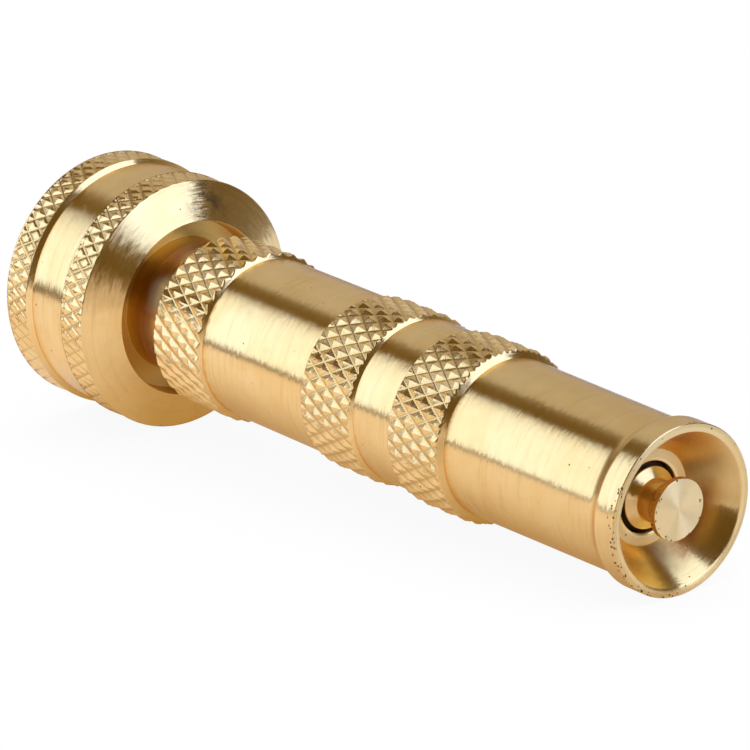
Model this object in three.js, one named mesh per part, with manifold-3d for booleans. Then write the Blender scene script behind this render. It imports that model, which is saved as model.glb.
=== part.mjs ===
// Adjustable twist nozzle for a garden hose, turned in brass.
//
// Millimetres. The nozzle's axis is X, the spray tip faces +X and +Z is up. The origin is on the axis, at the
// middle of the nozzle's length. A station is a distance behind the tip plane. Inside the nozzle group the tip
// plane is x = 0, so a point at a station has x = -station.
//
// The barrel is screwed onto the valve stem by a right-hand thread, and is drawn fully closed: its orifice is
// over the shut-off O-ring. Turning it anticlockwise, seen from the tip, moves it forward and opens it.

import * as THREE from "three";
import { mergeVertices } from "three/addons/utils/BufferGeometryUtils.js";
import Module from "manifold-3d";

// ---- Driving dimensions ----

const LENGTH = 105.0;

// Gap left between two pieces that touch in the assembled nozzle.
const CONTACT_GAP = 0.02;

// Barrel, outside.
const BARREL_END = 82.1;
const BARREL_KNURL_R = 10.5;
const BARREL_GRIP_R = 9.82;
const BARREL_FRONT_R = 9.45;
const BARREL_NECK_R = 9.2;
const FLANGE_R = 10.0;
const FLANGE_WIDTH = 3.0;
const FLANGE_FLARE = 1.4;
const RIM_CHAMFER = 0.15;
const KNURL_BANDS = [
  { start: 29.8, end: 37.8 },
  { start: 45.5, end: 53.6 },
  { start: 73.5, end: BARREL_END },
];
const BAND_CHAMFER = 0.62;
const REAR_CHAMFER = 0.35;

// Barrel, inside.
const FUNNEL_MOUTH_R = 9.0;
const FUNNEL_END_R = 5.55;
const ORIFICE_STATION = 5.3;
const ORIFICE_R = 4.18;
const ORIFICE_LENGTH = 2.3;
const CHAMBER_START = 10.0;
const CHAMBER_R = 6.6;
const CHAMBER_END = 57.0;
const REAR_BORE_R = 8.1;
const RING_GROOVE_R = 9.0;
const RING_GROOVE_START = 79.8;
const RING_GROOVE_WIDTH = 1.2;

// Drive thread between the barrel and the stem. Half widths are those of the stem's ridge and grow inwards.
const DRIVE_LEAD = 2.5;
const DRIVE_CREST_R = 7.7;
const DRIVE_ROOT_R = 6.9;
const DRIVE_CREST_HALF = 0.42;
const DRIVE_FLANK_SLOPE = 0.4;
const DRIVE_CLEARANCE = 0.17;
const DRIVE_RUNOUT = 1.8 * DRIVE_LEAD;
const STEM_THREAD_START = 60.2;
const STEM_THREAD_END = 72.0;
const BARREL_THREAD_START = 62.5;
const BARREL_THREAD_END = 73.0;

// Valve stem.
const STEM_FRONT = 7.6;
const STEM_NOSE_R = 3.6;
const STEM_NOSE_LENGTH = 1.9;
const STEM_TUBE_R = 4.6;
const STEM_TUBE_START = 12.0;
const SEAL_LAND_R = 6.4;
const SEAL_LAND_START = 45.0;
const SEAL_GROOVE_R = 5.2;
const SEAL_GROOVE_START = 47.2;
const SEAL_GROOVE_WIDTH = 1.8;
const STEM_END = 91.5;
const STEM_TAIL_R = 6.5;
const WATERWAY_R = 3.3;
const WATERWAY_FRONT = 30.0;
const PORT_R = 1.5;
const PORT_STATION = 34.5;
const PORT_COUNT = 2;

// Spray spindle.
const HEAD_FACE = 0.36;
const HEAD_R = 3.6;
const HEAD_THICKNESS = 0.8;
const HEAD_UNDERSIDE = 1.3;
const SPINDLE_NECK_R = 2.5;
const SPINDLE_NECK_END = 4.45;
const SHOULDER_R = 3.62;
const SHOULDER_EDGE = 5.15;
const SHOULDER_LAND = 0.5;
const SPINDLE_TAIL_R = 2.2;
const SPINDLE_TAIL_END = 14.5;

// O-rings and the stop ring.
const SHUTOFF_ORING = { station: 6.63, outer: 4.14, section: 0.78 };
const SEAL_ORING = { station: 48.1, outer: 6.55, section: 0.65 };
const STOP_RING = { inner: 7.1, outer: 8.85, width: 1.0, opening: 0.5 };

// Hose coupling, with a 3/4 inch garden hose thread of 11.5 threads to the inch.
const NECK_FACE = 83.9;
const NECK_R = 8.3;
const RECESS_MOUTH = 87.45;
const RECESS_MOUTH_R = 10.86;
const RECESS_BOTTOM = 90.0;
const RECESS_BOTTOM_R = 10.6;
const COUPLING_R = 15.5;
const COUPLING_SHOULDER = 89.5;
const COUPLING_WAIST_R = 14.95;
const FRONT_BAND_END = 93.65;
const REAR_BAND_START = 100.7;
const HOSE_PITCH = 25.4 / 11.5;
const HOSE_MINOR_R = 12.45;
const HOSE_MAJOR_R = 13.62;
const HOSE_CREST_HALF = 0.2;
const HOSE_FLANK_SLOPE = Math.tan(Math.PI / 6);
const HOSE_COUNTERSINK_R = 13.9;
const WASHER_SEAT = 92.0;
const WASHER_POCKET_END = 95.8;
const WASHER_POCKET_R = 13.7;
const WASHER_R = 12.35;
const WASHER_HOLE_R = 7.95;
const WASHER_THICKNESS = 3.0;

// Facets around each turned piece.
const BARREL_FACETS = 40;
const COUPLING_FACETS = 48;
const STEM_FACETS = 28;
const SPINDLE_FACETS = 28;
const THREAD_FACETS = 20;
const SECTION_FACETS = 8;
const HOLE_FACETS = 14;

// ---- Materials ----

function brass() {
  return new THREE.MeshStandardMaterial({ color: 0xd8ab57, roughness: 0.34, metalness: 1.0 });
}

function rubber() {
  return new THREE.MeshStandardMaterial({ color: 0x1a1918, roughness: 0.8, metalness: 0.0 });
}

function springSteel() {
  return new THREE.MeshStandardMaterial({ color: 0xa6a6a4, roughness: 0.35, metalness: 1.0 });
}

// ---- Shape helpers ----

// A point of a turned profile.
function at(station, radius) {
  return new THREE.Vector2(radius, -station);
}

// A turned solid about the X axis. Its profile runs from front to rear on the outside and from rear to front on
// the inside, and starts and ends on the axis or closes on itself.
function turned(profile, facets) {
  const geometry = new THREE.LatheGeometry([...profile].reverse(), facets);
  geometry.rotateZ(-Math.PI / 2);
  return geometry;
}

function closed(profile) {
  return [...profile, profile[0].clone()];
}

// The profile of a ring whose section is round.
function ringSection({ station, outer, section }) {
  const centre = outer - section;
  const points = [];
  for (let i = 0; i < SECTION_FACETS; i += 1) {
    const angle = (i / SECTION_FACETS) * 2 * Math.PI;
    points.push(at(station + section * Math.sin(angle), centre + section * Math.cos(angle)));
  }
  return closed(points);
}

// A right-hand helix about X. Its frames keep the first direction radial and the second one axial, so a swept
// outline is the thread's section through the axis.
class ThreadPath extends THREE.Curve {
  constructor(start, end, lead) {
    super();
    this.start = start;
    this.turns = (end - start) / lead;
    this.lead = lead;
  }

  angle(t) {
    return -2 * Math.PI * (this.start / this.lead + t * this.turns);
  }

  getPoint(t, target = new THREE.Vector3()) {
    return target.set(-this.start - t * this.turns * this.lead, 0, 0);
  }

  getSpacedPoints(divisions) {
    return Array.from({ length: divisions + 1 }, (_, i) => this.getPoint(i / divisions));
  }

  computeFrenetFrames(segments) {
    const frames = { tangents: [], normals: [], binormals: [] };
    for (let i = 0; i <= segments; i += 1) {
      const angle = this.angle(i / segments);
      frames.normals.push(new THREE.Vector3(0, Math.cos(angle), Math.sin(angle)));
      frames.binormals.push(new THREE.Vector3(1, 0, 0));
      frames.tangents.push(new THREE.Vector3(0, Math.sin(angle), -Math.cos(angle)));
    }
    return frames;
  }
}

// The solid that a threading tool sweeps. The section is a trapezoid between two radii, with a half width at each.
function threadCutter({ start, end, lead, inner, innerHalf, outer, outerHalf, shift = 0 }) {
  const section = new THREE.Shape([
    new THREE.Vector2(inner, -innerHalf),
    new THREE.Vector2(outer, -outerHalf),
    new THREE.Vector2(outer, outerHalf),
    new THREE.Vector2(inner, innerHalf),
  ]);
  const path = new ThreadPath(start, end, lead);
  const geometry = new THREE.ExtrudeGeometry(section, {
    steps: Math.round(Math.abs(path.turns) * THREAD_FACETS),
    extrudePath: path,
  });
  geometry.translate(shift, 0, 0);
  return geometry;
}

// ---- Joining and cutting ----

const wasm = await Module();
wasm.setup();

function solidOf(geometry) {
  const bare = geometry.clone();
  bare.deleteAttribute("normal");
  bare.deleteAttribute("uv");
  const merged = mergeVertices(bare, 1e-4);
  const corners = merged.index.array;
  const kept = [];
  for (let i = 0; i < corners.length; i += 3) {
    const [a, b, c] = [corners[i], corners[i + 1], corners[i + 2]];
    if (a !== b && b !== c && c !== a) {
      kept.push(a, b, c);
    }
  }
  return new wasm.Manifold(
    new wasm.Mesh({
      numProp: 3,
      vertProperties: Float32Array.from(merged.attributes.position.array),
      triVerts: Uint32Array.from(kept),
    }),
  );
}

function geometryOf(solid) {
  const mesh = solid.getMesh();
  const geometry = new THREE.BufferGeometry();
  geometry.setAttribute("position", new THREE.BufferAttribute(mesh.vertProperties, 3));
  geometry.setIndex(new THREE.BufferAttribute(mesh.triVerts, 1));
  geometry.computeVertexNormals();
  return geometry;
}

function cut(geometry, ...tools) {
  let solid = solidOf(geometry);
  for (const tool of tools) {
    solid = solid.subtract(solidOf(tool));
  }
  return geometryOf(solid);
}

// ---- The pieces ----

// The outside of the barrel: flange, smooth taper, and knurled bands that stand proud between smooth lands.
function barrelOutside() {
  const [front, middle, rear] = KNURL_BANDS;
  const landRadius = [BARREL_FRONT_R, BARREL_GRIP_R, BARREL_GRIP_R, BARREL_GRIP_R];
  const points = [
    at(0, FLANGE_R - RIM_CHAMFER),
    at(RIM_CHAMFER, FLANGE_R),
    at(FLANGE_WIDTH, FLANGE_R),
    at(FLANGE_WIDTH + FLANGE_FLARE, BARREL_NECK_R),
  ];
  [front, middle, rear].forEach((band, index) => {
    points.push(at(band.start - BAND_CHAMFER, landRadius[index]));
    points.push(at(band.start, BARREL_KNURL_R));
    if (band !== rear) {
      points.push(at(band.end, BARREL_KNURL_R));
      points.push(at(band.end + BAND_CHAMFER, landRadius[index + 1]));
    }
  });
  points.push(at(rear.end - REAR_CHAMFER, BARREL_KNURL_R));
  points.push(at(rear.end, BARREL_KNURL_R - REAR_CHAMFER));
  return points;
}

// The inside of the barrel, from its rear end forward to the spray funnel.
function barrelInside() {
  const minor = DRIVE_ROOT_R + DRIVE_CLEARANCE;
  const relief = DRIVE_CREST_R + 1.5 * DRIVE_CLEARANCE;
  return [
    at(BARREL_END, REAR_BORE_R),
    at(RING_GROOVE_START + RING_GROOVE_WIDTH, REAR_BORE_R),
    at(RING_GROOVE_START + RING_GROOVE_WIDTH, RING_GROOVE_R),
    at(RING_GROOVE_START, RING_GROOVE_R),
    at(RING_GROOVE_START, REAR_BORE_R),
    at(BARREL_THREAD_END + REAR_BORE_R - minor, REAR_BORE_R),
    at(BARREL_THREAD_END, minor),
    at(BARREL_THREAD_START, minor),
    at(BARREL_THREAD_START - (relief - minor), relief),
    at(CHAMBER_END + relief - CHAMBER_R, relief),
    at(CHAMBER_END, CHAMBER_R),
    at(CHAMBER_START, CHAMBER_R),
    at(ORIFICE_STATION + ORIFICE_LENGTH, ORIFICE_R),
    at(ORIFICE_STATION, ORIFICE_R),
    at(ORIFICE_STATION, FUNNEL_END_R),
    at(0, FUNNEL_MOUTH_R),
  ];
}

// Half width of the stem's thread ridge at a radius.
function ridgeHalf(radius) {
  return DRIVE_CREST_HALF + (DRIVE_CREST_R - radius) * DRIVE_FLANK_SLOPE;
}

function barrel() {
  const body = turned(closed([...barrelOutside(), ...barrelInside()]), BARREL_FACETS);
  const inner = DRIVE_ROOT_R - 0.3;
  const outer = DRIVE_CREST_R + DRIVE_CLEARANCE;
  const groove = threadCutter({
    start: BARREL_THREAD_START - DRIVE_RUNOUT,
    end: BARREL_THREAD_END + DRIVE_RUNOUT,
    lead: DRIVE_LEAD,
    inner,
    innerHalf: ridgeHalf(inner) + DRIVE_CLEARANCE,
    outer,
    outerHalf: ridgeHalf(outer) + DRIVE_CLEARANCE,
  });
  return cut(body, groove);
}

function valveStem() {
  const profile = [
    at(SPINDLE_TAIL_END + CONTACT_GAP, 0),
    at(SPINDLE_TAIL_END + CONTACT_GAP, SPINDLE_TAIL_R + CONTACT_GAP),
    at(STEM_FRONT, SPINDLE_TAIL_R + CONTACT_GAP),
    at(STEM_FRONT, STEM_NOSE_R),
    at(STEM_FRONT + STEM_NOSE_LENGTH, STEM_NOSE_R),
    at(STEM_TUBE_START, STEM_TUBE_R),
    at(SEAL_LAND_START, STEM_TUBE_R),
    at(SEAL_LAND_START + 1, SEAL_LAND_R),
    at(SEAL_GROOVE_START, SEAL_LAND_R),
    at(SEAL_GROOVE_START, SEAL_GROOVE_R),
    at(SEAL_GROOVE_START + SEAL_GROOVE_WIDTH, SEAL_GROOVE_R),
    at(SEAL_GROOVE_START + SEAL_GROOVE_WIDTH, SEAL_LAND_R),
    at(STEM_THREAD_START - (DRIVE_CREST_R - SEAL_LAND_R), SEAL_LAND_R),
    at(STEM_THREAD_START, DRIVE_CREST_R),
    at(STEM_THREAD_END - (DRIVE_CREST_R - DRIVE_ROOT_R), DRIVE_CREST_R),
    at(STEM_THREAD_END, DRIVE_ROOT_R),
    at(NECK_FACE - CONTACT_GAP, DRIVE_ROOT_R),
    at(NECK_FACE - CONTACT_GAP, STEM_TAIL_R - CONTACT_GAP),
    at(STEM_END, STEM_TAIL_R - CONTACT_GAP),
    at(STEM_END, WATERWAY_R),
    at(WATERWAY_FRONT + WATERWAY_R / 2, WATERWAY_R),
    at(WATERWAY_FRONT, 0),
  ];
  const outer = DRIVE_CREST_R + 0.3;
  const gapHalf = (radius) => DRIVE_LEAD / 2 - ridgeHalf(radius);
  const groove = threadCutter({
    start: STEM_THREAD_START - DRIVE_RUNOUT,
    end: STEM_THREAD_END + DRIVE_RUNOUT,
    lead: DRIVE_LEAD,
    inner: DRIVE_ROOT_R,
    innerHalf: gapHalf(DRIVE_ROOT_R),
    outer,
    outerHalf: gapHalf(outer),
    shift: -DRIVE_LEAD / 2,
  });
  const ports = [];
  for (let i = 0; i < PORT_COUNT; i += 1) {
    const port = new THREE.CylinderGeometry(PORT_R, PORT_R, 3 * STEM_TUBE_R, HOLE_FACETS);
    port.rotateX((i / PORT_COUNT) * Math.PI);
    port.translate(-PORT_STATION, 0, 0);
    ports.push(port);
  }
  return cut(turned(profile, STEM_FACETS), groove, ...ports);
}

// The spindle's mushroom head spreads the spray, and its shoulder holds the shut-off O-ring against the stem.
function spraySpindle() {
  const glandFloor = SHUTOFF_ORING.outer - 2 * SHUTOFF_ORING.section - CONTACT_GAP;
  const underside = new THREE.QuadraticBezierCurve(
    at(HEAD_FACE + HEAD_THICKNESS, HEAD_R),
    at(HEAD_FACE + HEAD_THICKNESS + 0.2 * HEAD_UNDERSIDE, SPINDLE_NECK_R),
    at(HEAD_FACE + HEAD_THICKNESS + HEAD_UNDERSIDE, SPINDLE_NECK_R),
  );
  return turned(
    [
      at(HEAD_FACE, 0),
      at(HEAD_FACE, HEAD_R),
      ...underside.getPoints(4),
      at(SPINDLE_NECK_END, SPINDLE_NECK_R),
      at(SHOULDER_EDGE, SHOULDER_R),
      at(SHOULDER_EDGE + SHOULDER_LAND, SHOULDER_R),
      at(SHOULDER_EDGE + SHOULDER_LAND, glandFloor),
      at(STEM_FRONT - CONTACT_GAP, glandFloor),
      at(STEM_FRONT - CONTACT_GAP, SPINDLE_TAIL_R),
      at(SPINDLE_TAIL_END, SPINDLE_TAIL_R),
      at(SPINDLE_TAIL_END, 0),
    ],
    SPINDLE_FACETS,
  );
}

// A split spring ring that sits in the barrel's rear groove and stops against the end of the stem's thread.
function stopRing() {
  const shape = new THREE.Shape();
  const end = 2 * Math.PI - STOP_RING.opening / 2;
  shape.absarc(0, 0, STOP_RING.outer, STOP_RING.opening / 2, end, false);
  shape.absarc(0, 0, STOP_RING.inner, end, STOP_RING.opening / 2, true);
  const geometry = new THREE.ExtrudeGeometry(shape, {
    depth: STOP_RING.width,
    bevelEnabled: false,
    curveSegments: STEM_FACETS / 2,
  });
  geometry.rotateY(Math.PI / 2);
  const slack = (RING_GROOVE_WIDTH - STOP_RING.width) / 2;
  geometry.translate(-RING_GROOVE_START - slack - STOP_RING.width, 0, 0);
  return geometry;
}

function hoseCoupling() {
  const step = COUPLING_R - COUPLING_WAIST_R;
  const outside = [
    at(NECK_FACE, STEM_TAIL_R),
    at(NECK_FACE, NECK_R),
    at(RECESS_BOTTOM, NECK_R),
    at(RECESS_BOTTOM, RECESS_BOTTOM_R),
    at(RECESS_MOUTH, RECESS_MOUTH_R),
    at(COUPLING_SHOULDER, COUPLING_R),
    at(FRONT_BAND_END, COUPLING_R),
    at(FRONT_BAND_END + step, COUPLING_WAIST_R),
    at(REAR_BAND_START - step, COUPLING_WAIST_R),
    at(REAR_BAND_START, COUPLING_R),
    at(LENGTH - REAR_CHAMFER, COUPLING_R),
    at(LENGTH, COUPLING_R - REAR_CHAMFER),
  ];
  const inside = [
    at(LENGTH, HOSE_COUNTERSINK_R),
    at(LENGTH - (HOSE_COUNTERSINK_R - HOSE_MINOR_R), HOSE_MINOR_R),
    at(WASHER_POCKET_END, HOSE_MINOR_R),
    at(WASHER_POCKET_END, WASHER_POCKET_R),
    at(WASHER_SEAT, WASHER_POCKET_R),
    at(WASHER_SEAT, STEM_TAIL_R),
  ];
  const inner = HOSE_MINOR_R - 0.3;
  const grooveHalf = (radius) => HOSE_CREST_HALF + (HOSE_MAJOR_R - radius) * HOSE_FLANK_SLOPE;
  const groove = threadCutter({
    start: WASHER_POCKET_END - HOSE_PITCH,
    end: LENGTH + HOSE_PITCH,
    lead: HOSE_PITCH,
    inner,
    innerHalf: grooveHalf(inner),
    outer: HOSE_MAJOR_R,
    outerHalf: HOSE_CREST_HALF,
  });
  return cut(turned(closed([...outside, ...inside]), COUPLING_FACETS), groove);
}

function hoseWasher() {
  const front = WASHER_SEAT + CONTACT_GAP;
  const rear = front + WASHER_THICKNESS;
  return turned(
    closed([at(front, WASHER_HOLE_R), at(front, WASHER_R), at(rear, WASHER_R), at(rear, WASHER_HOLE_R)]),
    STEM_FACETS,
  );
}

// ---- The assembly ----

const pieces = [
  ["hose_coupling", hoseCoupling(), brass()],
  ["hose_washer", hoseWasher(), rubber()],
  ["valve_stem", valveStem(), brass()],
  ["stem_seal_oring", turned(ringSection(SEAL_ORING), STEM_FACETS), rubber()],
  ["spray_spindle", spraySpindle(), brass()],
  ["shutoff_oring", turned(ringSection(SHUTOFF_ORING), SPINDLE_FACETS), rubber()],
  ["barrel_stop_ring", stopRing(), springSteel()],
  ["barrel", barrel(), brass()],
];

const nozzle = new THREE.Group();
nozzle.position.x = LENGTH / 2;
for (const [name, geometry, material] of pieces) {
  const mesh = new THREE.Mesh(geometry, material);
  mesh.name = name;
  nozzle.add(mesh);
}

export default nozzle;
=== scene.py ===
"""Brass twist nozzle for a garden hose: the finished look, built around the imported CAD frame.

The nozzle's axis is X and its spray tip faces +X. A station is a distance behind the tip plane. Stations and
radii are in millimetres and meshes are made in metres. Every turned piece is a stack of rings about the axis.
"""

import math

import bpy
import numpy as np
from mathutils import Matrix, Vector


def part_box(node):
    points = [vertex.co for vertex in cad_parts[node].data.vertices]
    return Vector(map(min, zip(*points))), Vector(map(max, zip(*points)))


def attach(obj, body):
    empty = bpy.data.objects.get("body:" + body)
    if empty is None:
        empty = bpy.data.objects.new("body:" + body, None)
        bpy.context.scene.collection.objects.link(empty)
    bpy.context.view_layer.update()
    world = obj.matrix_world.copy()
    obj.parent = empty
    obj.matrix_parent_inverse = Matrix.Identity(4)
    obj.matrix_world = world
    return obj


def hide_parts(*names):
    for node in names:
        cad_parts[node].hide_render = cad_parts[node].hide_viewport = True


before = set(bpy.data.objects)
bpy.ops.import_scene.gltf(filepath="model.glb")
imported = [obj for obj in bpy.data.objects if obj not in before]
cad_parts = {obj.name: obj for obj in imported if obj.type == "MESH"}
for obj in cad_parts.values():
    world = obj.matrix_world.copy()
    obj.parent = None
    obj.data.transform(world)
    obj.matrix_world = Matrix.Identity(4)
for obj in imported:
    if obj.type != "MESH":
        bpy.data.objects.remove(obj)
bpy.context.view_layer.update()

MM = 0.001


def node_span(node):
    """Front station, rear station and outer radius of a CAD node."""
    low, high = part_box(node)
    return (TIP_X - high.x) / MM, (TIP_X - low.x) / MM, high.z / MM


TIP_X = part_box("barrel")[1].x
_, BARREL_END, KNURL_R = node_span("barrel")
NECK_FACE, LENGTH, COUPLING_R = node_span("hose_coupling")

# ---- Dimensions that the frame's boxes don't give ----

# The barrel's outside. A band is the (front, rear) of its full height, with a sloped step at each end.
MOUTH_R = 9.05
FLANGE_R = 10.0
FLANGE_REAR = 3.0
FRONT_R = 9.45
GRIP_R = 9.82
BANDS = [(29.8, 37.8), (45.5, 53.6), (73.5, BARREL_END)]
BAND_STEP = 0.62
REAR_BAND_STEP = 0.4
REAR_CHAMFER = 0.35

# The orifice, where the funnel ends.
ORIFICE = 5.3
ORIFICE_R = 4.18
FUNNEL_FLOOR_R = 5.56

# The coupling's neck and the recess around it, inside the cone.
NECK_R = 8.3
NECK_BORE_R = 6.5
RECESS_MOUTH, RECESS_MOUTH_R = 87.45, 10.86
RECESS_BOTTOM, RECESS_BOTTOM_R = 90.0, 10.6

# The spindle's head.
HEAD_FACE = 0.36
HEAD_R = 3.6

DRIVE_LEAD = 2.5
HOSE_PITCH = 25.4 / 11.5

KNURL_BARREL = {"teeth": 36, "pitch": 3.2, "depth": 0.40, "flat": 0.9, "margin": 0.0}
KNURL_COUPLING = {"teeth": 55, "pitch": 3.0, "depth": 0.34, "flat": 0.5, "margin": 0.14}
KNURL_CELLS = 6
KNURL_EDGE = 0.02
DEEPEST_GROOVES = math.radians(100)
CROWN_SLOPE = 0.2
TOOTH_TABLE = 64

TINY = 1e-6

rng = np.random.default_rng(7)


# ---- Ring meshes ----


class Turned:
    """A mesh built as rings about the X axis, from front to rear outside and from rear to front inside."""

    def __init__(self, segments):
        self.segments = segments
        self.angles = 2 * math.pi * np.arange(segments) / segments
        self.blocks = []
        self.total = 0
        self.quads = []
        self.polygons = []
        self.last = None
        self.first = None
        self.relief = []
        self.sharp = set()
        self.ridges = []

    def place(self, stations, radii, relief=1.0, angles=None):
        """New vertices, and their indices."""
        angles = self.angles if angles is None else angles
        stations = np.broadcast_to(stations, np.shape(angles))
        radii = np.broadcast_to(radii, np.shape(angles))
        x = TIP_X / MM - stations
        self.blocks.append(np.column_stack([x, radii * np.cos(angles), radii * np.sin(angles)]))
        self.relief.append(np.broadcast_to(relief, np.shape(angles)))
        indices = np.arange(self.total, self.total + len(angles))
        self.total += len(angles)
        return indices

    def ring(self, station, radius, relief=1.0, sharp=False):
        """Adds a ring and joins it to the one before."""
        indices = self.place(station, radius, relief)
        if self.last is not None:
            self.join(self.last, indices)
        if sharp:
            self.mark_sharp(indices)
        if self.first is None:
            self.first = indices
        self.last = indices
        return indices

    def mark_sharp(self, indices):
        after = np.roll(indices, -1)
        self.sharp.update(map(tuple, np.sort(np.column_stack([indices, after]), axis=1)))

    def join(self, front, rear):
        self.quads.append(np.column_stack([front, rear, np.roll(rear, -1), np.roll(front, -1)]))

    def profile(self, points):
        """Adds a ring for each (station, radius). A third value of True makes the ring a sharp edge."""
        for point in points:
            self.ring(point[0], point[1], sharp=len(point) > 2 and point[2])

    def close(self):
        """Joins the last ring to the first."""
        self.join(self.last, self.first)

    def cap(self, station, rear):
        """Closes a ring with a fan to a point on the axis."""
        ring = self.last if rear else self.first
        centre = self.place(station, 0.0, angles=np.zeros(1))[0]
        after = np.roll(ring, -1)
        for a, b in zip(ring.tolist(), after.tolist()):
            self.polygons.append((a, int(centre), b) if rear else (b, int(centre), a))

    def thread(self, start, end, lead, section, fade):
        """Helical rows between the last ring, at start, and a new ring at end.

        section lists (fraction of the lead, radius) over one turn, from the ridge's middle. At both ends the
        thread dies out, over the length fade, to the radius of its first entry.
        """
        ring_start = self.last
        way = 1 if end > start else -1
        low, high = min(start, end), max(start, end)
        per_turn = len(section)
        base = section[0][1]
        ring_end = self.place(end, base)
        turns = range(math.floor(low / lead) - 1, math.ceil(high / lead) + 3)
        rows = [(lead * (turn + fraction), radius) for turn in turns for fraction, radius in section][::way]
        angles = self.angles
        table = np.empty((len(rows), self.segments + 1), int)
        before = ring_start if way == 1 else ring_end
        beyond = ring_end if way == 1 else ring_start
        for row, (position, radius) in enumerate(rows):
            stations = position - lead * angles / (2 * math.pi)
            inside = (stations > low + TINY) & (stations < high - TINY)
            ramp = np.clip(np.minimum(stations - low, high - stations) / fade, 0, 1)
            radii = base + (radius - base) * ramp
            table[row, :-1] = np.where(stations <= low + TINY, before, beyond)
            made = self.place(stations[inside], radii[inside], angles=angles[inside])
            table[row, :-1][inside] = made
        for row in range(len(rows)):
            source = row - way * per_turn
            table[row, -1] = table[source, 0] if 0 <= source < len(rows) else before[0]
        for front, rear in zip(table[:-1], table[1:]):
            for column in range(self.segments):
                corners = [front[column], rear[column], rear[column + 1], front[column + 1]]
                kept = [c for i, c in enumerate(corners) if c not in corners[:i]]
                if len(kept) > 2:
                    self.polygons.append(tuple(int(c) for c in kept))
        self.last = ring_end

    def knurl(self, envelope, knurl, start, end, step_rows=8, uneven=0.0):
        """A band of diamond knurling between two stations, cut to the envelope's radius.

        With uneven, one set of grooves gets shallower away from the angle DEEPEST_GROOVES.
        """
        cells = KNURL_CELLS
        half = knurl["pitch"] / 2
        radius = max(r for _, r in envelope)
        stations_known = [s for s, _ in envelope]
        radii_known = [r for _, r in envelope]
        spacing = half / cells
        first_row = math.ceil((start + KNURL_EDGE) / spacing)
        last_row = math.floor((end - KNURL_EDGE) / spacing)
        rows = [(row * spacing, row) for row in range(first_row, last_row + 1)]
        for lower, upper in ((stations_known[0], start), (end, stations_known[-1])):
            if upper - lower > TINY:
                edge = np.linspace(lower, upper, step_rows + 1)
                rows += [(float(s), None) for s in edge]
            else:
                rows.append((lower, None))
        rows = sorted({round(s, 5): (s, row) for s, row in rows}.values(), key=lambda item: item[0])
        turn = knurl["teeth"] * self.angles / (2 * math.pi)
        lift = uneven * (0.5 - 0.5 * np.cos(self.angles - DEEPEST_GROOVES))
        top = crown(1.0, knurl["flat"])
        previous = (self.last, np.full(self.segments, radii_known[0]))
        for station, row in rows[1:]:
            along = station / knurl["pitch"]
            tooth = np.minimum(triangle(turn + along), lift + (1 - lift) * triangle(turn - along))
            height = crown(tooth, knurl["flat"]) * tooth_size(turn, along, knurl["teeth"]) - top
            limit = np.interp(station, stations_known, radii_known)
            inside = knurl["margin"] == 0 or min(station - start, end - station) > knurl["margin"]
            radii = np.minimum(limit, radius + knurl["depth"] * height * inside)
            relief = np.clip(1 + (radii - radius) / (knurl["depth"] * top), 0, 1)
            relief = np.where(radii >= limit - TINY, 1.0, relief)
            indices = self.place(station, radii, relief)
            self.knurl_cells(previous, (indices, radii))
            if row is not None and row % cells == 0:
                self.ridges.append(np.column_stack([indices, np.roll(indices, -1)]))
            if row is not None:
                columns = np.arange(0, self.segments, cells)
                self.ridges.append(np.column_stack([previous[0][columns], indices[columns]]))
            previous = (indices, radii)
        self.last = previous[0]

    def knurl_cells(self, front, rear):
        """Splits each cell along the groove."""
        a, b = front[0], rear[0]
        c, d = np.roll(rear[0], -1), np.roll(front[0], -1)
        ra, rb = front[1], rear[1]
        rc, rd = np.roll(rear[1], -1), np.roll(front[1], -1)
        first = ra + rc < rb + rd
        for mask, one, two in ((first, (a, b, c), (a, c, d)), (~first, (a, b, d), (b, c, d))):
            for triple in (one, two):
                self.quads.append(np.column_stack([part[mask] for part in triple]))

    def build(self, name):
        """The Blender mesh object, in metres."""
        points = np.vstack(self.blocks) * MM
        faces = [face for block in self.quads for face in block.tolist()] + self.polygons
        mesh = bpy.data.meshes.new(name)
        mesh.from_pydata(points.tolist(), [], faces)
        mesh.update()
        mesh.shade_smooth()
        relief = mesh.attributes.new("relief", "FLOAT", "POINT")
        relief.data.foreach_set("value", np.concatenate(self.relief).astype(np.float32))
        self.crease(mesh)
        obj = bpy.data.objects.new(name, mesh)
        bpy.context.scene.collection.objects.link(obj)
        return obj

    def crease(self, mesh):
        edges = np.empty(len(mesh.edges) * 2, np.int32)
        mesh.edges.foreach_get("vertices", edges)
        edges = np.sort(edges.reshape(-1, 2), axis=1).astype(np.int64)
        keys = edges[:, 0] * self.total + edges[:, 1]
        wanted = [a * self.total + b for a, b in self.sharp]
        if self.ridges:
            ridges = np.sort(np.vstack(self.ridges), axis=1).astype(np.int64)
            wanted = np.concatenate([np.array(wanted, np.int64), ridges[:, 0] * self.total + ridges[:, 1]])
        sharp = np.isin(keys, np.array(wanted, np.int64))
        attribute = mesh.attributes.get("sharp_edge") or mesh.attributes.new("sharp_edge", "BOOLEAN", "EDGE")
        attribute.data.foreach_set("value", sharp)


def triangle(turns):
    """A wave of period 1 that is 0 at whole numbers and 1 half-way between them."""
    return 1 - np.abs(2 * (turns - np.floor(turns)) - 1)


def crown(tooth, flat):
    """Tooth height, nearly level above the height flat."""
    return np.minimum(tooth, flat + CROWN_SLOPE * (tooth - flat))


tooth_sizes = rng.uniform(0.93, 1.0, (TOOTH_TABLE, TOOTH_TABLE))


def tooth_size(turn, along, teeth):
    """A slightly different height for each tooth."""
    first = np.floor(turn + along).astype(int)
    second = np.floor(turn - along).astype(int)
    return tooth_sizes[(first - second) % TOOTH_TABLE, (first % teeth) % TOOTH_TABLE]


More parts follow.
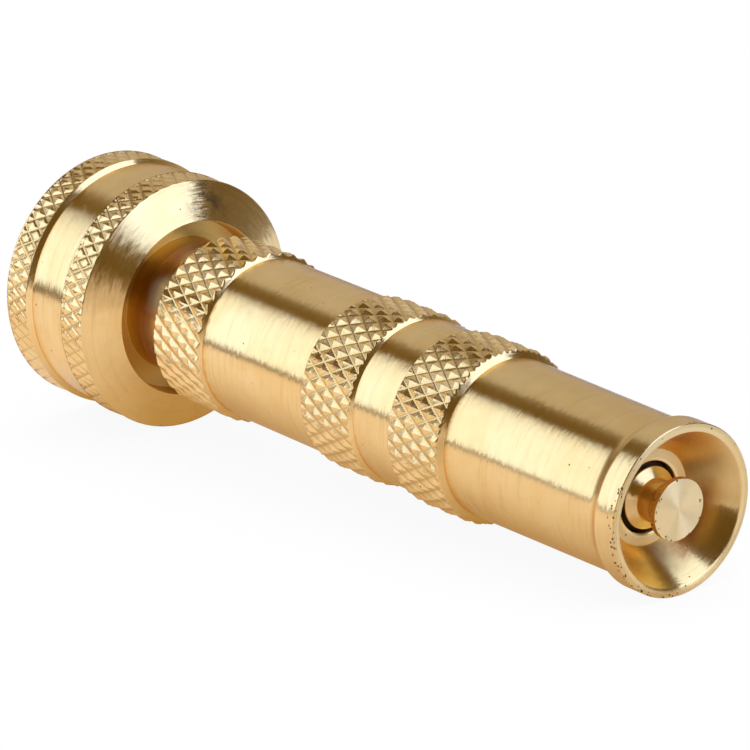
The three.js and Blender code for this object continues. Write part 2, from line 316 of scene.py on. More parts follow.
def rounded(corners, steps=4):
    """A profile with its corners rounded. A corner is (station, radius) or (station, radius, fillet)."""
    points = []
    for i, corner in enumerate(corners):
        here = np.array(corner[:2], float)
        fillet = corner[2] if len(corner) > 2 else 0.0
        if fillet == 0.0 or i in (0, len(corners) - 1):
            points.append((here[0], here[1]))
            continue
        back = np.array(corners[i - 1][:2], float) - here
        ahead = np.array(corners[i + 1][:2], float) - here
        back_length, ahead_length = np.linalg.norm(back), np.linalg.norm(ahead)
        back, ahead = back / back_length, ahead / ahead_length
        angle = math.acos(np.clip(back @ ahead, -1, 1))
        reach = fillet / math.tan(angle / 2)
        middle = (back + ahead) / np.linalg.norm(back + ahead)
        centre = here + middle * fillet / math.sin(angle / 2)
        start, end = here + back * reach, here + ahead * reach
        support = 0.5 * fillet
        if reach + support < 0.5 * back_length:
            points.append(tuple(start + back * support))
        for step in range(steps + 1):
            share = step / steps
            arm = (start - centre) * (1 - share) + (end - centre) * share
            points.append(tuple(centre + arm / np.linalg.norm(arm) * fillet))
        if reach + support < 0.5 * ahead_length:
            points.append(tuple(end + ahead * support))
    return points


# ---- Pieces ----


def plain_land(mesh, front, rear, radius, shares):
    """Rings along a plain cylinder, at shares of its length, and a sharp ring at its rear edge."""
    mesh.profile([(front + share * (rear - front), radius) for share in shares])
    mesh.ring(rear, radius, sharp=True)


def make_barrel():
    mesh = Turned(KNURL_BARREL["teeth"] * 2 * KNURL_CELLS)
    mesh.profile(
        rounded(
            [
                (0.0, MOUTH_R),
                (0.0, FLANGE_R, 0.12),
                (FLANGE_REAR, FLANGE_R, 0.6),
                (4.4, 9.25, 2.5),
                (16.0, 9.33),
                (BANDS[0][0] - BAND_STEP, FRONT_R),
            ]
        )
    )
    mesh.mark_sharp(mesh.last)
    barrel_bands(mesh)
    barrel_bore(mesh)
    mesh.close()
    return mesh.build("barrel_turned")


def barrel_bands(mesh):
    """Three knurled bands, with plain lands between them and a chamfer at the rear end."""
    front_steps = [BAND_STEP, BAND_STEP, REAR_BAND_STEP]
    for index, (start, end) in enumerate(BANDS[:-1]):
        front = (start - front_steps[index], GRIP_R if index else FRONT_R)
        rear = (end + BAND_STEP, GRIP_R)
        envelope = [front, (start, KNURL_R), (end, KNURL_R), rear]
        mesh.knurl(envelope, KNURL_BARREL, start, end, uneven=0.2)
        mesh.mark_sharp(mesh.last)
        next_front = BANDS[index + 1][0] - front_steps[index + 1]
        plain_land(mesh, rear[0], next_front, GRIP_R, (0.03, 0.35, 0.7, 0.97))
    start, end = BANDS[-1]
    knurl_end = end - REAR_CHAMFER
    envelope = [(start - REAR_BAND_STEP, GRIP_R), (start, KNURL_R)]
    envelope += [(knurl_end, KNURL_R), (end, KNURL_R - REAR_CHAMFER)]
    mesh.knurl(envelope, KNURL_BARREL, start, knurl_end, uneven=0.75)
    mesh.mark_sharp(mesh.last)


def barrel_bore(mesh):
    """From the rear: the stop ring's groove, drive thread, seal bore, water chamber and funnel."""
    minor, major, bore = 7.07, 7.87, 8.1
    snap_front, snap_rear, snap_r = 79.8, 81.0, 9.0
    thread_front, thread_rear = 62.0, 73.6
    runout_r, chamber_r = 7.95, 6.6
    mesh.profile(
        [
            (BARREL_END, 9.7),
            (BARREL_END, 8.4, True),
            (BARREL_END - 0.3, bore, True),
            (snap_rear, bore, True),
            (snap_rear, snap_r, True),
            (snap_front, snap_r, True),
            (snap_front, bore, True),
            (74.0, bore, True),
            (thread_rear, major, True),
        ]
    )
    inner, outer = 0.842 / DRIVE_LEAD, 0.522 / DRIVE_LEAD
    section = [(-outer, major), (outer, major), (inner, minor), (1 - inner, minor)]
    mesh.thread(thread_rear, thread_front, DRIVE_LEAD, section, 0.8)
    lip = 0.08
    mesh.profile(
        [
            (61.6, runout_r, True),
            (58.4, runout_r, True),
            (57.0, chamber_r, True),
            (10.0, chamber_r, True),
            (7.6, ORIFICE_R, True),
            (ORIFICE + lip, ORIFICE_R),
            (ORIFICE, ORIFICE_R + lip),
            (ORIFICE, 4.8),
            (ORIFICE, FUNNEL_FLOOR_R, True),
            (3.6, 6.66),
            (1.8, 7.84),
            (0.12, 8.94),
        ]
    )


def make_coupling():
    mesh = Turned(KNURL_COUPLING["teeth"] * 2 * KNURL_CELLS)
    front_band, rear_band = (89.5, 93.65), (100.7, LENGTH - 0.35)
    waist, step, chamfer = 14.95, 0.5, 0.35
    cone_rim = (front_band[0] - 0.3, 14.82)
    mesh.profile(
        rounded(
            [
                (NECK_FACE, NECK_BORE_R),
                (NECK_FACE, NECK_R, 0.2),
                (RECESS_BOTTOM, NECK_R, 0.04),
                (RECESS_BOTTOM, RECESS_BOTTOM_R, 0.04),
                (RECESS_MOUTH, RECESS_MOUTH_R, 0.06),
                cone_rim,
            ]
        )
    )
    start, end = front_band
    envelope = [cone_rim, (start, COUPLING_R), (end, COUPLING_R), (end + step, waist)]
    mesh.knurl(envelope, KNURL_COUPLING, start, end, step_rows=6)
    mesh.mark_sharp(mesh.last)
    plain_land(mesh, end + step, rear_band[0] - step, waist, (0.04, 0.5, 0.96))
    start, end = rear_band
    envelope = [(start - step, waist), (start, COUPLING_R), (end, COUPLING_R), (LENGTH, COUPLING_R - chamfer)]
    mesh.knurl(envelope, KNURL_COUPLING, start, end, step_rows=6)
    mesh.mark_sharp(mesh.last)
    coupling_thread(mesh)
    mesh.close()
    return mesh.build("hose_coupling_turned")


def coupling_thread(mesh):
    """From the rear rim: the female hose thread, the washer's pocket and the stem's seat."""
    major, minor = 13.62, 12.45
    thread_rear, thread_front = LENGTH - 0.75, 95.8
    pocket_front, pocket_rear, pocket_r = 92.0, 95.6, 13.7
    mesh.profile(rounded([(LENGTH, 15.0), (LENGTH, 14.3, 0.2), (thread_rear, major)]))
    outer, inner = 0.2 / HOSE_PITCH, 0.875 / HOSE_PITCH
    section = [(-outer, major), (outer, major), (inner, minor), (1 - inner, minor)]
    mesh.thread(thread_rear, thread_front, HOSE_PITCH, section, 0.7)
    mesh.profile([(pocket_rear, pocket_r, True), (pocket_front, pocket_r, True)])
    mesh.profile([(pocket_front, 10.0), (pocket_front, NECK_BORE_R, True)])


def make_stem():
    """A tube with a spindle seat in front, a seal groove, the drive thread and a water bore from the rear."""
    mesh = Turned(96)
    root, crest = 6.9, 7.7
    spindle_bore, spindle_bore_end = 2.22, 14.52
    nose, nose_r, tube_r, shoulder_r = 7.6, 3.6, 4.6, 6.4
    groove_front, groove_rear, groove_r = 47.2, 49.0, 5.2
    thread_front, thread_rear = 59.4, 72.0
    shoulder, seat_r, rear, water_bore = 83.88, 6.48, 91.5, 3.3
    mesh.profile(
        [
            (spindle_bore_end, spindle_bore, True),
            (nose, spindle_bore, True),
            (nose, nose_r, True),
            (9.5, nose_r, True),
            (12.0, tube_r, True),
            (45.0, tube_r, True),
            (46.0, shoulder_r, True),
            (groove_front, shoulder_r, True),
            (groove_front, groove_r, True),
            (groove_rear, groove_r, True),
            (groove_rear, shoulder_r, True),
            (58.9, shoulder_r, True),
            (thread_front, root, True),
        ]
    )
    outer, inner = 0.42 / DRIVE_LEAD, 0.74 / DRIVE_LEAD
    section = [(inner, root), (1 - inner, root), (1 - outer, crest), (1 + outer, crest)]
    mesh.thread(thread_front, thread_rear, DRIVE_LEAD, section, 0.8)
    mesh.profile(
        [
            (shoulder, root, True),
            (shoulder, seat_r, True),
            (rear - 0.15, seat_r, True),
            (rear, seat_r - 0.15, True),
            (rear, water_bore + 0.2, True),
            (rear - 0.2, water_bore, True),
            (32.0, water_bore, True),
        ]
    )
    mesh.cap(30.0, True)
    mesh.cap(spindle_bore_end, False)
    stem = mesh.build("valve_stem_turned")
    drill(stem, station=34.5, radius=1.5, count=2)
    return stem


def drill(obj, station, radius, count):
    """Cuts cross holes through a piece, square to its axis."""
    sides, reach = 40, 8.0
    for hole in range(count):
        tilt = math.pi * hole / count
        along = np.array([0.0, math.cos(tilt), math.sin(tilt)])
        across = np.array([0.0, -math.sin(tilt), math.cos(tilt)])
        middle = np.array([TIP_X / MM - station, 0.0, 0.0])
        points = []
        for end in (-reach, reach):
            for side in range(sides):
                angle = 2 * math.pi * side / sides
                offset = np.array([math.cos(angle), 0, 0]) + math.sin(angle) * across
                points.append((middle + end * along + radius * offset) * MM)
        walls = [(k, (k + 1) % sides, sides + (k + 1) % sides, sides + k) for k in range(sides)]
        ends = [tuple(range(sides))[::-1], tuple(range(sides, 2 * sides))]
        cutter_mesh = bpy.data.meshes.new("drill")
        cutter_mesh.from_pydata([tuple(point) for point in points], [], walls + ends)
        cutter = bpy.data.objects.new("drill", cutter_mesh)
        bpy.context.scene.collection.objects.link(cutter)
        bore = obj.modifiers.new("bore", "BOOLEAN")
        bore.operation, bore.solver, bore.object = "DIFFERENCE", "EXACT", cutter
        graph = bpy.context.evaluated_depsgraph_get()
        cut = bpy.data.meshes.new_from_object(obj.evaluated_get(graph), depsgraph=graph)
        obj.modifiers.clear()
        obj.data = cut
        bpy.data.objects.remove(cutter)
        bpy.data.meshes.remove(cutter_mesh)


def make_stop_ring():
    """A split spring ring with a rounded square section."""
    front, rear, outer, inner = 79.9, 80.9, 8.85, 7.1
    seam, fillet, opening, steps = 8.0, 0.2, 0.5, 90
    section = rounded(
        [
            (front, seam),
            (front, outer, fillet),
            (rear, outer, fillet),
            (rear, inner, fillet),
            (front, inner, fillet),
            (front, seam),
        ]
    )[:-1]
    count = len(section)
    points, faces = [], []
    for step in range(steps + 1):
        angle = opening / 2 + (2 * math.pi - opening) * step / steps
        for station, radius in section:
            across = radius * MM
            points.append((TIP_X - station * MM, across * math.cos(angle), across * math.sin(angle)))
    for step in range(steps):
        for k in range(count):
            a, b = step * count + k, step * count + (k + 1) % count
            faces.append((a, b, b + count, a + count))
    faces.append(tuple(range(count))[::-1])
    faces.append(tuple(steps * count + k for k in range(count)))
    mesh = bpy.data.meshes.new("barrel_stop_ring_formed")
    mesh.from_pydata(points, [], faces)
    mesh.update()
    mesh.shade_smooth()
    mesh.set_sharp_from_angle(angle=math.radians(50))
    ring = bpy.data.objects.new("barrel_stop_ring_formed", mesh)
    bpy.context.scene.collection.objects.link(ring)
    return ring


def make_spindle():
    """A mushroom head, a waist, a cone-shaped shoulder, the O-ring's groove and a screwed tail."""
    mesh = Turned(160)
    waist_r, shoulder_r, groove_r, tail_r = 2.5, 3.62, 2.56, 2.2
    shoulder_rear, groove_rear, tail_end = 5.65, 7.58, 14.5
    mesh.profile(
        rounded(
            [
                (HEAD_FACE, 0.25),
                (HEAD_FACE, HEAD_R, 0.06),
                (1.16, HEAD_R, 0.1),
                (1.6, 2.75, 0.5),
                (2.6, waist_r, 0.6),
                (4.45, waist_r, 0.08),
                (5.15, shoulder_r, 0.08),
                (shoulder_rear, shoulder_r),
            ]
        )
    )
    mesh.mark_sharp(mesh.last)
    mesh.profile(
        [
            (shoulder_rear, groove_r, True),
            (groove_rear, groove_r, True),
            (groove_rear, tail_r, True),
            (tail_end - 0.2, tail_r, True),
            (tail_end, tail_r - 0.2, True),
        ]
    )
    mesh.cap(tail_end, True)
    mesh.cap(HEAD_FACE, False)
    return mesh.build("spray_spindle_turned")


def make_oring(name, station, outer, section, segments=120, steps=20):
    """An O-ring, with its middle station, its outer radius and the radius of its round section."""
    mesh = Turned(segments)
    centre = outer - section
    for step in range(steps):
        angle = 2 * math.pi * step / steps
        mesh.ring(station + section * math.sin(angle), centre + section * math.cos(angle))
    mesh.close()
    return mesh.build(name)


def make_washer():
    mesh = Turned(120)
    front, rear, radius = node_span("hose_washer")
    hole, seam, fillet = 7.95, 9.0, 0.4
    corners = [
        (front, seam),
        (front, radius, fillet),
        (rear, radius, fillet),
        (rear, hole, fillet),
        (front, hole, fillet),
        (front, seam),
    ]
    mesh.profile(rounded(corners)[:-1])
    mesh.close()
    return mesh.build("hose_washer_moulded")


# ---- Materials ----


class Nodes:
    """Short forms for building a node tree."""

    def __init__(self, tree):
        self.tree = tree
        tree.nodes.clear()

    def add(self, kind, **values):
        node = self.tree.nodes.new(kind)
        for key, value in values.items():
            setattr(node, key, value)
        return node

    def feed(self, node, **inputs):
        for key, value in inputs.items():
            self.put(node.inputs[key.replace("_", " ")], value)
        return node

    def put(self, socket, value):
        if isinstance(value, bpy.types.NodeSocket):
            self.tree.links.new(value, socket)
        else:
            socket.default_value = value

    def math(self, operation, *values, clamp=False):
        node = self.add("ShaderNodeMath", operation=operation, use_clamp=clamp)
        for socket, value in zip(node.inputs, values):
            self.put(socket, value)
        return node.outputs[0]

    def vector(self, operation, *values):
        node = self.add("ShaderNodeVectorMath", operation=operation)
        for socket, value in zip(node.inputs, values):
            self.put(socket, value)
        return node.outputs["Value"] if operation in ("DOT_PRODUCT", "LENGTH") else node.outputs[0]

    def scale(self, vector, factor):
        node = self.add("ShaderNodeVectorMath", operation="SCALE")
        self.put(node.inputs[0], vector)
        self.put(node.inputs["Scale"], factor)
        return node.outputs[0]

    def split(self, value):
        node = self.add("ShaderNodeSeparateXYZ")
        self.put(node.inputs[0], value)
        return node.outputs

    def combine(self, x, y, z):
        node = self.add("ShaderNodeCombineXYZ")
        for socket, value in zip(node.inputs, (x, y, z)):
            self.put(socket, value)
        return node.outputs[0]

    def step(self, value, start, end, low=0.0, high=1.0):
        """A smooth step from low to high as value goes from start to end."""
        node = self.add("ShaderNodeMapRange", interpolation_type="SMOOTHSTEP")
        for socket, number in zip(node.inputs, (value, start, end, low, high)):
            self.put(socket, number)
        return node.outputs[0]

    def mix(self, factor, first, second):
        node = self.add("ShaderNodeMix", data_type="RGBA")
        self.put(node.inputs["Factor"], factor)
        self.put(node.inputs[6], first)
        self.put(node.inputs[7], second)
        return node.outputs[2]

    def noise(self, vector, scale, detail=2.0, roughness=0.5):
        node = self.add("ShaderNodeTexNoise")
        self.feed(node, Vector=vector, Scale=scale, Detail=detail, Roughness=roughness)
        return node.outputs["Fac"]


def colour(red, green, blue):
    return (red, green, blue, 1.0)


def material(name, nodes=Nodes):
    made = bpy.data.materials.new(name)
    made.use_nodes = True
    return made, nodes(made.node_tree)


CLEAN_BRASS = colour(0.885, 0.585, 0.185)
WARM_BRASS = colour(0.85, 0.535, 0.150)
# A dull tone, used for worn patches and also for painted shade.
DULL_AND_SHADED_BRASS = colour(0.60, 0.365, 0.090)
# A lighter tone for the faced ends, a painted highlight.
FACED_HIGHLIGHT_BRASS = colour(0.98, 0.72, 0.27)
PIT_BROWN = colour(0.05, 0.025, 0.01)
SMUDGE_BROWN = colour(0.16, 0.12, 0.05)
BRASS_EDGE_TINT = colour(1.0, 0.9, 0.7)


class BrassNodes(Nodes):
    """Nodes for brass turned about the X axis. Lengths are in millimetres, with x measured from the tip."""

    def __init__(self, tree):
        super().__init__(tree)
        place = self.add("ShaderNodeTexCoord").outputs["Object"]
        self.millimetres = self.scale(self.vector("SUBTRACT", place, (TIP_X, 0.0, 0.0)), 1 / MM)
        self.x, y, z = self.split(self.millimetres)
        squares = self.math("ADD", self.math("MULTIPLY", y, y), self.math("MULTIPLY", z, z))
        self.radius = self.math("SQRT", squares)
        self.across = self.math("DIVIDE", y, self.radius)
        self.up = self.math("DIVIDE", z, self.radius)
        self.along = self.math("ADD", self.x, self.math("MULTIPLY", self.radius, 1.3))
        self.tool_marks = self.turned_noise(lengthwise=9.0, around=3.0, detail=3.0, roughness=0.6)
        self.hand_marks = self.turned_noise(lengthwise=2.2, around=1.6, detail=4.0, roughness=0.6)
        self.brushed = self.turned_noise(lengthwise=5.0, around=8.0, detail=3.0, roughness=0.7)
        self.cloud = self.noise(self.millimetres, scale=0.16, detail=3.0, roughness=0.55)
        self.patches = self.noise(self.millimetres, scale=0.45, detail=3.0, roughness=0.6)
        self.grain = self.noise(self.millimetres, scale=6.0, detail=2.0, roughness=0.6)
        self.surface = self.add("ShaderNodeNewGeometry").outputs
        facing_ends = self.math("ABSOLUTE", self.split(self.surface["Normal"])[0])
        self.faced = self.step(facing_ends, 0.97, 0.995)

    def turned_noise(self, lengthwise, around, detail, roughness):
        """Noise stretched around the axis, with the two frequencies along the surface and around it."""
        parts = (self.math("MULTIPLY", part, around) for part in (self.across, self.up))
        vector = self.combine(self.math("MULTIPLY", self.along, lengthwise), *parts)
        return self.noise(vector, 1.0, detail, roughness)

    def cells(self, scale):
        """Scattered points: the distance to the nearest one, and two random numbers for it."""
        node = self.add("ShaderNodeTexVoronoi", feature="F1")
        self.feed(node, Vector=self.millimetres, Scale=scale)
        first, second, _ = self.split(node.outputs["Color"])
        return node.outputs["Distance"], first, second

    def pits(self, amount):
        """A few small dark pits, more of them in some patches."""
        cells_per_mm, smallest, largest, core = 1.7, 0.09, 0.24, 0.4
        rare, frequent = 0.975, 0.92
        distance, chance, _ = self.cells(cells_per_mm)
        limit = self.step(self.patches, 0.5, 0.75, rare, frequent)
        size = self.step(chance, limit, 1.0, smallest, largest)
        pit = self.step(distance, size, self.math("MULTIPLY", size, core))
        chosen = self.math("GREATER_THAN", chance, limit)
        return self.math("MULTIPLY", pit, self.math("MULTIPLY", chosen, amount))

    def chips(self, edge_x, edge_radius, aim):
        """Chips along a front edge, worst on the side that aim points to."""
        length, depth, cells_per_mm = 1.3, 0.7, 2.6
        least, most = 0.15, 1.1
        lengthwise = self.step(self.x, edge_x - length, edge_x)
        near = self.math("MULTIPLY", lengthwise, self.step(self.radius, edge_radius - depth, edge_radius))
        near = self.math("MULTIPLY", near, self.step(self.patches, 0.35, 0.6, 0.35, 1.0))
        side = self.vector("DOT_PRODUCT", self.combine(0.0, self.across, self.up), aim)
        share = self.math("MULTIPLY", near, self.step(side, 0.0, 0.9, least, most))
        distance, _, chance = self.cells(cells_per_mm)
        lost = self.math("GREATER_THAN", share, chance)
        return self.math("MULTIPLY", lost, self.step(distance, 0.5, 0.2))

    def metal(self, tarnish):
        """Clean brass, duller in patches, with painted shade towards the tip and dirt with painted shade at
        the bottom of the knurling.
        """
        handled, patchy, tip_shade, groove_dirt_and_shade = 0.35, 0.2, 0.2, 0.75
        tip_from, tip_to = -60.0, -5.0
        tone = self.mix(self.step(self.cloud, 0.35, 0.68), CLEAN_BRASS, WARM_BRASS)
        for pattern, amount in ((self.hand_marks, handled), (self.patches, patchy)):
            tone = self.mix(self.math("MULTIPLY", self.step(pattern, 0.5, 0.8), amount), tone, DULL_AND_SHADED_BRASS)
        # Painted shade: the metal gets darker towards the tip, over the taper and the flange.
        tone = self.mix(self.step(self.x, tip_from, tip_to, 0.0, tip_shade), tone, DULL_AND_SHADED_BRASS)
        # Dirt and painted shade: the metal gets darker at the bottom of the knurl grooves.
        relief = self.add("ShaderNodeAttribute", attribute_name="relief").outputs["Fac"]
        return self.mix(self.step(relief, 0.4, 0.0, tarnish, groove_dirt_and_shade), tone, DULL_AND_SHADED_BRASS)

    def hollow_shade(self, tone, front, rear, reach, shade_tone, share):
        """Painted shade: darker, deeper coloured metal between two stations, inside the radius reach, for the
        shade and repeated reflections in a hollow.
        """
        soft = 0.1
        inside = self.step(self.x, -rear - soft, -rear + soft)
        inside = self.math("MULTIPLY", inside, self.step(self.x, -front, -front - 2 * soft))
        within = self.step(self.radius, reach + 0.05, reach - 0.1, 0.0, share)
        return self.mix(self.math("MULTIPLY", inside, within), tone, colour(*shade_tone))

    def stain(self, tone, centre, reach):
        """A dark smudge, broken up by patches and grain."""
        away = self.vector("LENGTH", self.vector("SUBTRACT", self.millimetres, centre))
        smudge = self.math("MULTIPLY", self.step(away, reach, 0.0), self.step(self.patches, 0.42, 0.62))
        smudge = self.math("MULTIPLY", smudge, self.step(self.grain, 0.35, 0.65, 0.4, 1.0))
        return self.mix(smudge, tone, SMUDGE_BROWN)

    def rough(self, pit):
        """Rougher along the tool marks, on the faced ends and in the pits."""
        polished, on_marks, on_ends, in_pits = 0.15, 0.08, 0.17, 0.3
        marks = self.math("MULTIPLY", self.tool_marks, on_marks)
        marks = self.math("ADD", marks, self.math("MULTIPLY", self.hand_marks, on_marks))
        ends = self.math("ADD", self.math("MULTIPLY", self.faced, on_ends), polished)
        return self.math("ADD", self.math("ADD", marks, ends), self.math("MULTIPLY", pit, in_pits))

    def bumps(self, pit):
        """The normal over the tool marks, the grain and the pits."""
        grain_share, pit_depth, relief_height = 0.25, 2.0, 0.006 * MM
        height = self.math("ADD", self.tool_marks, self.math("MULTIPLY", self.grain, grain_share))
        height = self.math("SUBTRACT", height, self.math("MULTIPLY", pit, pit_depth))
        bump = self.add("ShaderNodeBump")
        self.feed(bump, Height=height, Distance=relief_height, Strength=1.0)
        return bump.outputs["Normal"]

    def brushing(self, normal):
        """A tangent along the profile, square to the tool marks, and a normal broken up in fine streaks."""
        axis = (1.0, 0.0, 0.0)
        around = self.vector("NORMALIZE", self.vector("CROSS_PRODUCT", axis, self.surface["Position"]))
        tangent = self.vector("NORMALIZE", self.vector("CROSS_PRODUCT", self.surface["Normal"], around))
        streaks = 0.17
        lean = self.math("MULTIPLY", self.math("SUBTRACT", self.brushed, 0.5), streaks)
        return tangent, self.vector("NORMALIZE", self.vector("ADD", normal, self.scale(around, lean)))


def brass(name, pits=1.0, tarnish=0.0, faced_highlight=0.0, chipped_edge=None, hollow_shade=None, stain=None):
    """Turned brass, with tool marks around the axis, small dark pits and cleaner metal on the high spots, its
    knurl grooves darkened by dirt and painted shade.

    faced_highlight is how much lighter the faced ends are painted, as a painted highlight.
    chipped_edge, hollow_shade and stain are the arguments of the methods chips, hollow_shade and stain of
    BrassNodes.
    """
    made, n = material(name, BrassNodes)
    pit = n.pits(pits)
    if chipped_edge:
        pit = n.math("MAXIMUM", pit, n.chips(*chipped_edge))
    tone = n.metal(tarnish)
    # Painted highlight: the faced ends are painted lighter.
    tone = n.mix(n.math("MULTIPLY", n.faced, faced_highlight), tone, FACED_HIGHLIGHT_BRASS)
    # Painted shade: darker, deeper coloured metal inside a hollow.
    if hollow_shade:
        tone = n.hollow_shade(tone, *hollow_shade)
    if stain:
        tone = n.stain(tone, *stain)
    pit_darkness = 0.88
    tone = n.mix(n.math("MULTIPLY", pit, pit_darkness), tone, PIT_BROWN)
    tangent, normal = n.brushing(n.bumps(pit))
    shader = n.add("ShaderNodeBsdfPrincipled")
    n.feed(shader, Base_Color=tone, Metallic=1.0, Roughness=n.rough(pit), Normal=normal)
    n.feed(shader, Anisotropic=0.86, Tangent=tangent, Specular_Tint=BRASS_EDGE_TINT)
    n.put(n.add("ShaderNodeOutputMaterial").inputs["Surface"], shader.outputs[0])
    return made


def grainy(name, cloud_scale, grain_scale, tones, bump_height, bump_strength, roughness, **shading):
    """A plain material with a mottled tone and a fine grain. tones holds (from, to, first, second).

    Without a cloud_scale, the tone follows the grain.
    """
    made, n = material(name)
    place = n.add("ShaderNodeTexCoord").outputs["Object"]
    millimetres = n.scale(place, 1 / MM)
    grain = n.noise(millimetres, grain_scale, 3.0, 0.65)
    mottle = n.noise(millimetres, cloud_scale, 3.0) if cloud_scale else grain
    low, high, first, second = tones
    tone = n.mix(n.step(mottle, low, high), first, second)
    bump = n.add("ShaderNodeBump")
    n.feed(bump, Height=grain, Distance=bump_height * MM, Strength=bump_strength)
    shader = n.add("ShaderNodeBsdfPrincipled")
    n.feed(shader, Base_Color=tone, Roughness=n.step(grain, 0.2, 0.8, *roughness), **shading)
    n.feed(shader, Normal=bump.outputs["Normal"])
    n.put(n.add("ShaderNodeOutputMaterial").inputs["Surface"], shader.outputs[0])
    return made


def rubber(name):
    tones = (0.35, 0.7, colour(0.014, 0.010, 0.005), colour(0.03, 0.023, 0.012))
    shading = {"Specular_IOR_Level": 0.35, "Specular_Tint": colour(1.0, 0.6, 0.25)}
    return grainy(name, 0.5, 8.0, tones, 0.02, 0.6, (0.5, 0.75), **shading)


def spring_steel(name):
    tones = (0.35, 0.7, colour(0.51, 0.49, 0.45), colour(0.37, 0.355, 0.33))
    return grainy(name, None, 5.0, tones, 0.01, 0.5, (0.28, 0.45), Metallic=1.0)


# ---- Studio ----

# Angles are in degrees. An azimuth is counted from +X towards +Y. soft is the width of a wall's soft edge.
WALLS = [
    {"azimuth": (84, 176), "elevation": (-3, 75), "soft": 6, "light": (0.57, 0.585, 0.78)},
    {"azimuth": (176, 204), "elevation": (-3, 90), "soft": 3, "light": (0.185, 0.13, 0.04)},
]
# A box is aimed at by azimuth and elevation, reaches half angles sideways and upwards, and turns by roll.
SOFT_BOXES = [
    {"aim": (-130, 22.6), "roll": 0.0, "half_angles": (26.5, 25.5), "light": (1.50, 1.95, 3.9)},
    {"aim": (31, 53), "roll": -16, "half_angles": (22, 47), "light": (1.50, 2.05, 4.7)},
]
BOX_SOFTNESS = 0.02
DARK = (0.14, 0.10, 0.03)

TABLE_LENGTH, TABLE_WIDTH = 0.25, 0.17
TABLE_GAP = 0.02 * MM
COUPLING_REST = 89.5 * MM

CAMERA_AZIMUTH, CAMERA_ELEVATION = math.radians(50.716), math.radians(19.84)
CAMERA_RIGHT, CAMERA_UP, CAMERA_BACK = -0.033445, 0.014839, 0.578648
CAMERA_LENS = 254.4


def direction(azimuth, elevation):
    azimuth, elevation = math.radians(azimuth), math.radians(elevation)
    flat = math.cos(elevation)
    return Vector((flat * math.cos(azimuth), flat * math.sin(azimuth), math.sin(elevation)))


def wall_mask(n, azimuth, elevation, wall):
    (left, right), (low, high), soft = wall["azimuth"], wall["elevation"], wall["soft"]
    middle, half = (left + right) / 2, (right - left) / 2
    offset = n.math("ABSOLUTE", n.math("WRAP", n.math("SUBTRACT", azimuth, middle), 180.0, -180.0))
    sideways = n.step(offset, half + soft / 2, half - soft / 2)
    upward = n.step(elevation, low - soft / 2, low + soft / 2)
    downward = n.step(elevation, high + soft / 2, high - soft / 2)
    return n.math("MULTIPLY", sideways, n.math("MULTIPLY", upward, downward))


def box_mask(n, ray, box):
    centre = direction(*box["aim"])
    level = Vector((0, 0, 1)).cross(centre).normalized()
    turn = math.radians(box["roll"])
    across = math.cos(turn) * level + math.sin(turn) * centre.cross(level)
    upright = centre.cross(across)
    facing = n.vector("DOT_PRODUCT", ray, tuple(centre))
    ahead = n.math("MAXIMUM", facing, 0.001)
    mask = n.math("GREATER_THAN", facing, 0.0)
    for axis, half in zip((across, upright), box["half_angles"]):
        reach = math.tan(math.radians(half))
        offset = n.math("DIVIDE", n.math("ABSOLUTE", n.vector("DOT_PRODUCT", ray, tuple(axis))), ahead)
        mask = n.math("MULTIPLY", mask, n.step(offset, reach + BOX_SOFTNESS, reach - BOX_SOFTNESS))
    return mask


def studio_world():
    """White to the camera. To the metal, a dark room with two walls and two soft boxes."""
    world = bpy.data.worlds.new("studio")
    world.use_nodes = True
    n = Nodes(world.node_tree)
    ray = n.add("ShaderNodeTexCoord").outputs["Generated"]
    x, y, z = n.split(ray)
    azimuth = n.math("DEGREES", n.math("ARCTAN2", y, x))
    elevation = n.math("DEGREES", n.math("ARCSINE", z))
    tone = colour(*DARK)
    for wall in WALLS:
        tone = n.mix(wall_mask(n, azimuth, elevation, wall), tone, colour(*wall["light"]))
    for box in SOFT_BOXES:
        tone = n.mix(box_mask(n, ray, box), tone, colour(*box["light"]))
    seen = n.add("ShaderNodeLightPath").outputs["Is Camera Ray"]
    tone = n.mix(seen, tone, colour(1.0, 1.0, 1.0))
    background = n.add("ShaderNodeBackground")
    n.feed(background, Color=tone)
    n.put(n.add("ShaderNodeOutputWorld").inputs["Surface"], background.outputs[0])
    bpy.context.scene.world = world


